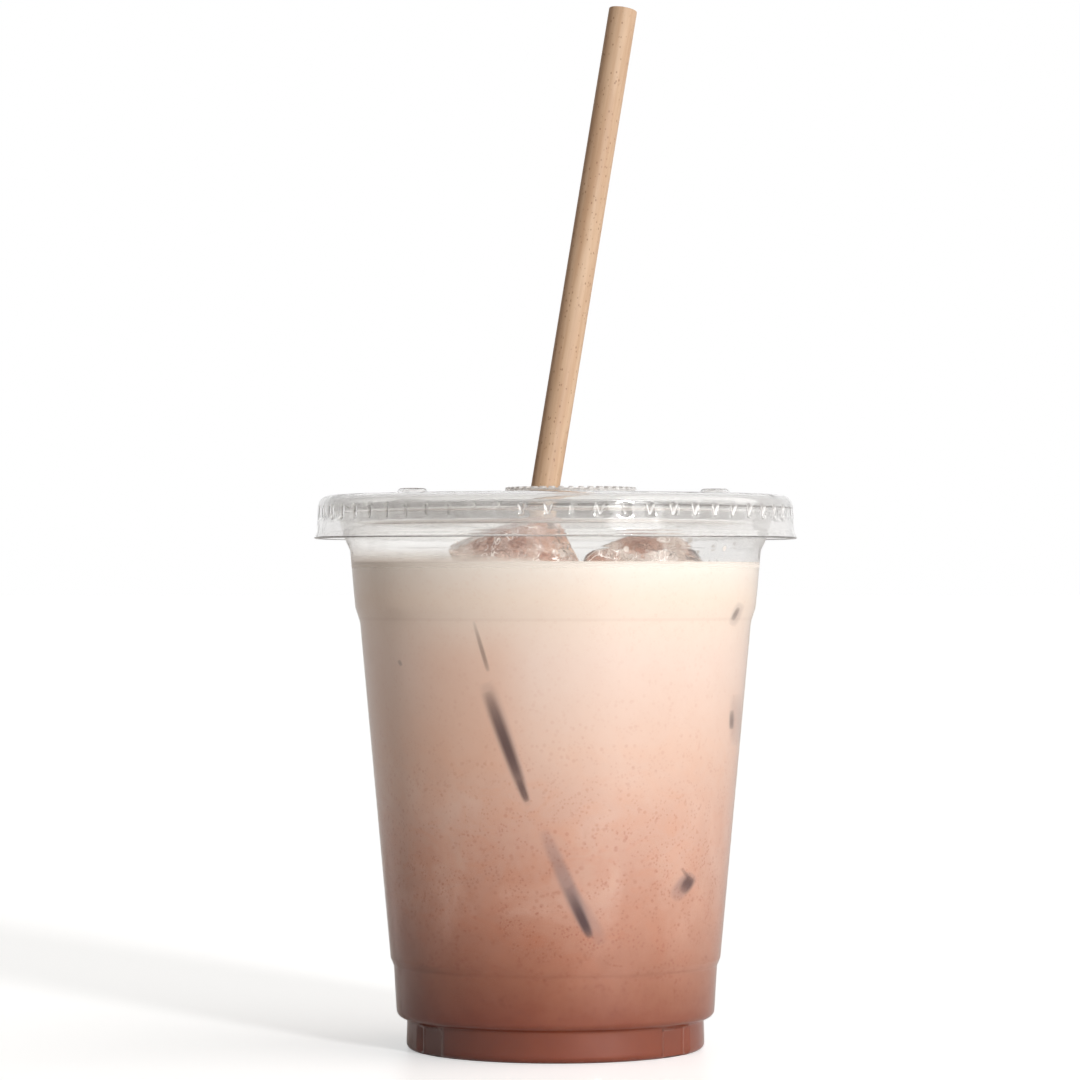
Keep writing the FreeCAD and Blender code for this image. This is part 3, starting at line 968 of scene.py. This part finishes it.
def ripples(points, seed, size, count):
    """Sum of waves in seeded directions, about -1 to 1."""
    rng = np.random.default_rng(seed)
    ways = rng.normal(size=(count, 3))
    ways /= np.linalg.norm(ways, axis=1, keepdims=True)
    ways *= 2 * math.pi / (size * rng.uniform(0.6, 1.5, (count, 1)))
    return np.sin(points @ ways.T + rng.uniform(0, 6.28, count)).sum(-1) / math.sqrt(count)


def wet_ice(name, seed):
    """Melting ice with a film of tea: clear and frosted patches, thin wandering white cracks and a
    rippled wet skin."""
    shade = new_shade(name)
    place = shade.node("Mapping", None, {"Vector": shade.place(), "Location": (seed * MM, 0, 0)})
    lumps = shade.noise(place, 150.0, 3.0, 0.55, 0.5)
    fine = shade.noise(place, 520.0, 2.0, 0.5, 0.6)
    thread = (shade.noise(place, 260.0, 2.0, 0.5, 1.2) - 0.5).size().between(0.03, 0.008)
    crack = thread * shade.noise(place, 150.0).between(0.42, 0.5)
    tea = shade.noise(shade.stretched(place, (1, 1, 1.8)), 95.0, 3.0, 0.6).between(0.46, 0.58)
    frosted = shade.tint(tea, linear(240, 224, 214), linear(168, 112, 88))
    tinted = shade.tint(tea, linear(243, 230, 221), linear(188, 138, 112))
    normal = shade.bump(fine, 0.7, 0.35 * MM, shade.bump(lumps, 1.0, 2.0 * MM))
    clear = shade.surface(
        Base_Color=tinted, Roughness=0.06, IOR=1.31, Transmission_Weight=1.0, Normal=normal
    )
    frost = shade.surface(
        Base_Color=frosted, Roughness=0.2, Coat_Weight=1.0, Coat_Roughness=0.05, Normal=normal
    )
    white = shade.surface(Base_Color=padded(linear(252, 247, 242)), Roughness=0.3, Normal=normal)
    misty = shade.mixed(0.16 + 0.34 * lumps.between(0.42, 0.62), clear, frost)
    return shade.end(shade.lets_light_in(shade.mixed(crack * 0.9, misty, white)))


class CHAI_OT_ice(bpy.types.Operator):
    """Makes the two blocks of melting ice"""

    bl_idname = "chai.ice"
    bl_label = "Ice"

    def execute(self, context):
        for name, block in ICE_BLOCKS.items():
            tilt = np.linspace(-math.pi / 2, math.pi / 2, 110)
            heading = np.linspace(0, 2 * math.pi, 150, endpoint=False)
            way = turned(np.column_stack([np.cos(tilt), np.sin(tilt)]), heading)
            reach = 1 / ice_measure(way + ice_middle(block), block)
            reach = reach * (1 - 0.012 * (1 + ripples(way, block["seed"], 0.9, 9)))
            points = ice_middle(block) + way * reach[..., None]
            grid_piece(name + "_block", points, wet_ice(name + "_wet", block["seed"]), [name])
        return {"FINISHED"}


# ---- drink


def drink_top(points, level):
    """Height of the drink's top: it climbs the wall and the straw a little, and inside an ice block it
    drops to the block's underside, found by halving the span between the level and the block's foot
    twenty times."""
    height = points[..., 2].copy()
    for block in ICE_BLOCKS.values():
        at_level = points.copy()
        at_level[..., 2] = level
        inside = ice_measure(at_level, block)
        high = np.full(height.shape, level)
        low = np.full(height.shape, level - 30 * MM)
        for _ in range(20):
            at_level[..., 2] = (high + low) / 2
            wet = ice_measure(at_level, block) < 0.97
            high = np.where(wet, at_level[..., 2], high)
            low = np.where(wet, low, at_level[..., 2])
        sunk = ramp(inside, 0.985, 0.93)
        height = height + (np.minimum(high, level) - level) * sunk
        height = height + 0.5 * MM * np.exp(-np.abs(inside - 1) * 9) * (inside > 0.985)
    return height


def streak_mask(shade, x, z, start, end, widths, softs, strengths):
    """Strength within a half width of the straight line between two points (x, z in millimetres), falling
    to 0 over a soft edge. Half width, softness and strength change evenly from its start to its end, and
    fade out towards both ends as the square root of 4 t (1 - t)."""
    run_x, run_z = end[0] - start[0], end[1] - start[1]
    off_x, off_z = x - start[0] * MM, z - start[1] * MM
    along = (off_x * run_x + off_z * run_z) * (1 / ((run_x ** 2 + run_z ** 2) * MM))
    along = along.most(0).least(1)
    apart_x = off_x - along * (run_x * MM)
    apart_z = off_z - along * (run_z * MM)
    apart = (apart_x * apart_x + apart_z * apart_z) ** 0.5 * (1 / MM)
    taper = (along * (1 - along) * 4) ** 0.5
    width = (widths[0] + along * (widths[1] - widths[0])) * taper
    soft = softs[0] + along * (softs[1] - softs[0])
    inside = (1 - (apart - width) / soft).most(0).least(1)
    strength = (strengths[0] + along * (strengths[1] - strengths[0])) * taper
    return (inside * inside * (3 - 2 * inside) * strength).least(1)


# Dark streaks: ends (x, height in millimetres), half width, softness and strength at each end.
STREAKS = (
    ((-16.6, 89.8), (-13.6, 79.6), (0.1, 0.2), (0.4, 0.5), (0.3, 0.65)),
    ((-13.9, 75.6), (-6.6, 55.6), (0.4, 0.4), (1.5, 1.0), (0.7, 0.95)),
    ((-7.6, 58.0), (-5.8, 53.4), (0.3, 0.3), (0.7, 0.7), (0.5, 0.9)),
    ((2.2, 36.2), (7.0, 25.8), (0.3, 0.5), (1.2, 0.8), (0.35, 1.3)),
    ((25.6, 34.2), (27.6, 37.4), (0.5, 0.6), (1.1, 0.9), (0.5, 0.95)),
    ((27.2, 37.0), (25.4, 39.4), (0.1, 0.1), (0.5, 0.4), (0.5, 0.3)),
    ((36.1, 89.8), (37.5, 92.4), (0.2, 0.2), (0.55, 0.4), (0.55, 0.55)),
    ((36.2, 71.2), (36.1, 67.2), (0.15, 0.2), (0.6, 0.6), (0.5, 0.75)),
    ((-32.0, 81.7), (-31.4, 80.5), (0.15, 0.15), (0.35, 0.35), (0.35, 0.35)),
)
STREAK_HAZE = (
    ((-14.2, 77.5), (-5.6, 52.6), (0.8, 0.7), (1.9, 0.9), (0.45, 0.5)),
    ((-2.6, 47.8), (6.8, 26.2), (0.4, 0.9), (1.6, 1.3), (0.4, 0.8)),
    ((2.5, 36.5), (9.5, 24.5), (0.4, 0.6), (1.6, 1.8), (0.3, 0.35)),
    ((23.6, 33.0), (28.0, 38.0), (0.7, 1.2), (1.5, 1.0), (0.35, 0.65)),
    ((36.0, 88.6), (38.0, 93.4), (0.5, 0.5), (1.0, 0.9), (0.3, 0.3)),
    ((37.2, 74.5), (37.2, 63.5), (0.6, 0.6), (1.5, 1.5), (0.3, 0.3)),
)


def milk_tea(look, low, level):
    """Milk over tea: a band of colours by height, shifted by cloudy patches, with painted shade that darkens
    the left, most low down and in the foot, and warms a band part way to the left, and painted light that
    pales the right, with fine brown specks and dark streaks at the wall. On the wall the shading normal
    leans from the surface's own to the one straight out from Z, because milk so deep shows no small steps."""
    shade = new_shade("milk_tea_drink")
    place = shade.place()
    x, y, z = shade.parts(place)
    cloud = shade.noise(shade.stretched(place, (1, 1, 0.8)), 55.0, 4.0, 0.55, 0.6)
    wisp = shade.noise(shade.stretched(place, (1, 1, 1.6)), 110.0, 4.0, 0.6, 1.2)
    lift = (cloud - 0.5) * 9 * MM + (wisp - 0.5) * 4 * MM
    height = (z + lift * z.between(level - 4 * MM, level - 30 * MM) - low) / (level - low)
    stops = [
        (0.0, look.foot), (0.07, look.foot), (0.15, look.deep), (0.27, look.tea), (0.45, look.peach),
        (0.62, look.blush), (0.8, look.milk), (0.93, look.cream), (1.0, look.froth),
    ]
    colour = shade.node("ValToRGB", {"stops": stops}, {"Fac": height})
    patch = wisp.between(0.4, 0.7) * height.between(0.8, 0.4) * height.between(0.1, 0.25)
    pale = cloud.between(0.45, 0.75) * height.between(0.15, 0.4) * height.between(0.95, 0.6)
    grain = shade.noise(place, 330.0, 4.0, 0.75).between(0.35, 0.65)
    # masks for painted shade on the left and painted light on the right
    left = x.between(5 * MM, -28 * MM)
    warm_shade = x.between(-3 * MM, -14 * MM) * x.between(-34 * MM, -22 * MM)
    warm_shade = warm_shade * height.between(0.9, 0.8) * height.between(0.5, 0.6)
    lit_right = x.between(-5 * MM, 38 * MM) * height.between(0.0, 0.3) * height.between(0.8, 0.6)
    specks = shade.cells(place, 640.0).between(0.33, 0.18) * shade.noise(place, 240.0).between(0.42, 0.56)
    dust = shade.cells(place, 1300.0).between(0.36, 0.2) * shade.noise(place, 330.0).between(0.45, 0.55)
    brown = (0.7, 0.4, 0.3)
    layers = (
        (patch * 0.5, (0.98, 0.78, 0.64), "MULTIPLY"),
        (pale * 0.22, look.milk, "MIX"),
        (grain * (0.06 + 0.2 * height.between(0.7, 0.15)), (0.84, 0.7, 0.62), "MULTIPLY"),
        # painted shade: darker on the left, low down and in the foot
        (left * height.between(0.4, 0.15), (0.8, 0.76, 0.78), "MULTIPLY"),
        (left * z.between(7.2 * MM, 5.8 * MM), (0.72, 0.62, 0.5), "MULTIPLY"),
        # painted shade: warmer in a band on the shaded left
        (warm_shade, (0.96, 0.86, 0.8), "MULTIPLY"),
        # painted light: paler on the lit right side
        (lit_right * 0.18, look.blush, "MIX"),
        (specks * (0.06 + 0.24 * height.between(0.85, 0.4)), brown, "MULTIPLY"),
        (dust * (0.06 + 0.44 * height.between(0.75, 0.3)), brown, "MULTIPLY"),
    )
    for amount, shown, way in layers:
        colour = shade.tint(amount, colour, shown, way)
    front = y.between(0, -4 * MM)
    for streaks, shown in ((STREAK_HAZE, look.haze), (STREAKS, look.streak)):
        for streak in streaks:
            colour = shade.tint(streak_mask(shade, x, z, *streak) * front, colour, shown)
    facing = shade.node("NewGeometry", output="Normal")
    round_way = shade.node("VectorMath", {"operation": "NORMALIZE"}, {0: shade.stretched(place, (1, 1, 0))})
    on_wall = z.between(level - 0.1 * MM, level - 0.6 * MM) * z.between(6 * MM, 17 * MM) * 0.85
    softened = shade.node("Mix", {"data_type": "VECTOR"}, {0: on_wall, 4: facing, 5: round_way}, 1)
    normal = shade.bump(shade.noise(place, 300.0, 3.0), 0.05, 0.2 * MM, softened)
    milk = shade.surface(Base_Color=colour, Roughness=0.45, Specular_IOR_Level=0.2, Normal=normal)
    return shade.end(milk)


class CHAI_OT_drink(bpy.types.Operator):
    """Makes the drink, which reaches just into the cup's wall, climbs it a little by an exponential of the
    gap to it, and dips under the ice"""

    bl_idname = "chai.drink"
    bl_label = "Drink"

    def execute(self, context):
        shape = context.scene.chai_cup
        look = context.scene.chai_drink
        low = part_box("drink")[0]
        level = drink_level()
        inset = shape.wall - look.sink
        line = rounded(left_of(cup_corners(shape), inset))
        line = close_at_foot(line, shape, 0.55 * MM, 2.5 * MM)
        climb = level + look.meniscus
        rising = line[np.argmin(line[:, 1]):]
        over = np.interp(climb, rising[:, 1], rising[:, 0])
        line = np.vstack([line[line[:, 1] < climb - 0.2 * MM], [(over, climb)]])
        headings = cup_headings(shape)
        wall = press_notches(turned(line, headings), shape, inset)
        rings = np.linspace(0, 1, 70)[1:, None]
        gap = over * rings ** 1.15
        surface = turned(np.column_stack([over - gap, np.full(len(rings), level)]), headings)
        surface[..., 2] -= look.meniscus * (1 - np.exp(-gap / (1.1 * MM)))
        surface[..., 2] += look.meniscus * 2 * np.exp(-gap / (0.7 * MM))
        surface[..., 2] = drink_top(surface, level)
        points = np.concatenate([wall, surface])
        grid_piece("drink_body", points, milk_tea(look, low.z, level), ["drink"])
        return {"FINISHED"}


# ---- stage


class CHAI_OT_stage(bpy.types.Operator):
    """Makes the floor, the light and the camera"""

    bl_idname = "chai.stage"
    bl_label = "Stage"

    def execute(self, context):
        look = context.scene.chai_stage
        self.make_floor(look)
        self.make_world(look)
        self.make_sun("key", look.sun, look.sun_heading, look.sun_height, look.sun_size)
        self.make_sun("fill", look.fill, look.fill_heading, look.fill_height, look.fill_size)
        self.make_camera(look)
        light = context.scene.cycles
        light.max_bounces = 12
        light.diffuse_bounces = 3
        light.transmission_bounces = 12
        light.transparent_max_bounces = 20
        return {"FINISHED"}

    def make_floor(self, look):
        """A pale matt floor, which glows where it is looked at, so that it ends white and keeps the
        shadow."""
        shade = new_shade("stage_floor")
        matt = dict(Roughness=0.9, Specular_IOR_Level=0.0)
        white = (1, 1, 1, 1)
        cool = (0.92, 0.98, 1, 1)
        plain = shade.surface(Base_Color=(0.8, 0.8, 0.8, 1), **matt)
        glow = shade.surface(Base_Color=white, Emission_Color=cool, Emission_Strength=look.glow, **matt)
        looked_at = shade.path("Is Camera Ray").most(shade.path("Is Transmission Ray"))
        paper = shade.mixed(looked_at.most(shade.path("Is Glossy Ray") * 0.15), plain, glow)
        sheen = shade.node("BsdfAnisotropic", None, {"Color": white, "Roughness": 0.3})
        shade.end(shade.mixed(shade.path("Is Camera Ray") * 0.16, paper, sheen))
        mesh = bpy.data.meshes.new("floor")
        half = 30.0
        corners = [(-half, -half, 0), (half, -half, 0), (half, half, 0), (-half, half, 0)]
        mesh.from_pydata(corners, [], [(0, 1, 2, 3)])
        mesh.materials.append(shade.owner)
        floor = bpy.data.objects.new("floor", mesh)
        bpy.context.scene.collection.objects.link(floor)

    def make_world(self, look):
        """Even light, white where it is looked at, and for gloss a white wall behind, a dark room and a
        window."""
        world = bpy.data.worlds.new("studio")
        bpy.context.scene.world = world
        shade = Shade(world)
        sky = shade.background((1, 0.83, 0.72), look.sky)
        white = shade.background((1, 1, 1), 1.0)
        room = shade.background((1, 1, 1), look.room)
        window = shade.background((1, 1, 1), look.window)
        x, y, z = shade.parts(shade.node("TexCoord", output="Generated"))
        behind = (y + 0.45 * x).between(0.2, 0.85)
        facing = x * math.sin(look.sun_heading + 0.1) - y * math.cos(look.sun_heading + 0.1)
        opening = facing.between(0.955, 0.975) * z.between(0.0, 0.05) * z.between(0.45, 0.4)
        mirrored = shade.mixed(behind, room, white)
        mirrored = shade.mixed(opening, mirrored, window)
        unseen = shade.mixed(shade.path("Is Glossy Ray"), sky, mirrored)
        seen = shade.path("Is Camera Ray").most(shade.path("Is Transmission Ray"))
        shade.end(shade.mixed(seen, unseen, white), "World")

    def make_sun(self, name, strength, heading, height, size):
        """A lamp far away, seen from the drink at a heading and height."""
        lamp = bpy.data.lights.new(name, "SUN")
        lamp.energy = strength
        lamp.angle = size
        sun = bpy.data.objects.new(name, lamp)
        flat = math.cos(height)
        towards = Vector((math.sin(heading) * flat, -math.cos(heading) * flat, math.sin(height)))
        sun.rotation_euler = towards.to_track_quat("Z", "Y").to_euler()
        sun.location = towards
        bpy.context.scene.collection.objects.link(sun)

    def make_camera(self, look):
        """A long lens in front of the drink, looking slightly up."""
        data = bpy.data.cameras.new("camera")
        data.lens = look.lens
        data.sensor_width = 36.0
        data.clip_start = 0.01
        data.clip_end = 100
        camera = bpy.data.objects.new("camera", data)
        camera.location = (look.eye_x, -look.eye_back, look.eye_height)
        camera.rotation_euler = (math.pi / 2 + look.eye_pitch, 0, 0)
        scene = bpy.context.scene
        scene.collection.objects.link(camera)
        scene.camera = camera
        scene.view_settings.view_transform = "Standard"


class CHAI_PT_panel(bpy.types.Panel):
    """Lists the pieces of the drink"""

    bl_idname = "CHAI_PT_panel"
    bl_label = "Chai"
    bl_space_type = "VIEW_3D"
    bl_region_type = "UI"
    bl_category = "Chai"

    def draw(self, context):
        for maker in MAKERS:
            self.layout.operator(maker.bl_idname)
        for group in GROUPS:
            for field in GROUPS[group].__annotations__:
                self.layout.prop(getattr(context.scene, group), field)


GROUPS = {
    "chai_cup": CupShape,
    "chai_lid": LidShape,
    "chai_straw": StrawShape,
    "chai_drink": DrinkLook,
    "chai_stage": StageLook,
}
MAKERS = (CHAI_OT_cup, CHAI_OT_lid, CHAI_OT_straw, CHAI_OT_ice, CHAI_OT_drink, CHAI_OT_stage)


def register():
    for item in (*GROUPS.values(), *MAKERS, CHAI_PT_panel):
        bpy.utils.register_class(item)
    for name, group in GROUPS.items():
        setattr(bpy.types.Scene, name, PointerProperty(type=group))


def unregister():
    for name in GROUPS:
        delattr(bpy.types.Scene, name)
    for item in (CHAI_PT_panel, *MAKERS, *GROUPS.values()):
        bpy.utils.unregister_class(item)


def main():
    register()
    bpy.ops.chai.cup()
    bpy.ops.chai.lid()
    bpy.ops.chai.straw()
    bpy.ops.chai.ice()
    bpy.ops.chai.drink()
    bpy.ops.chai.stage()


if __name__ == "__main__":
    main()
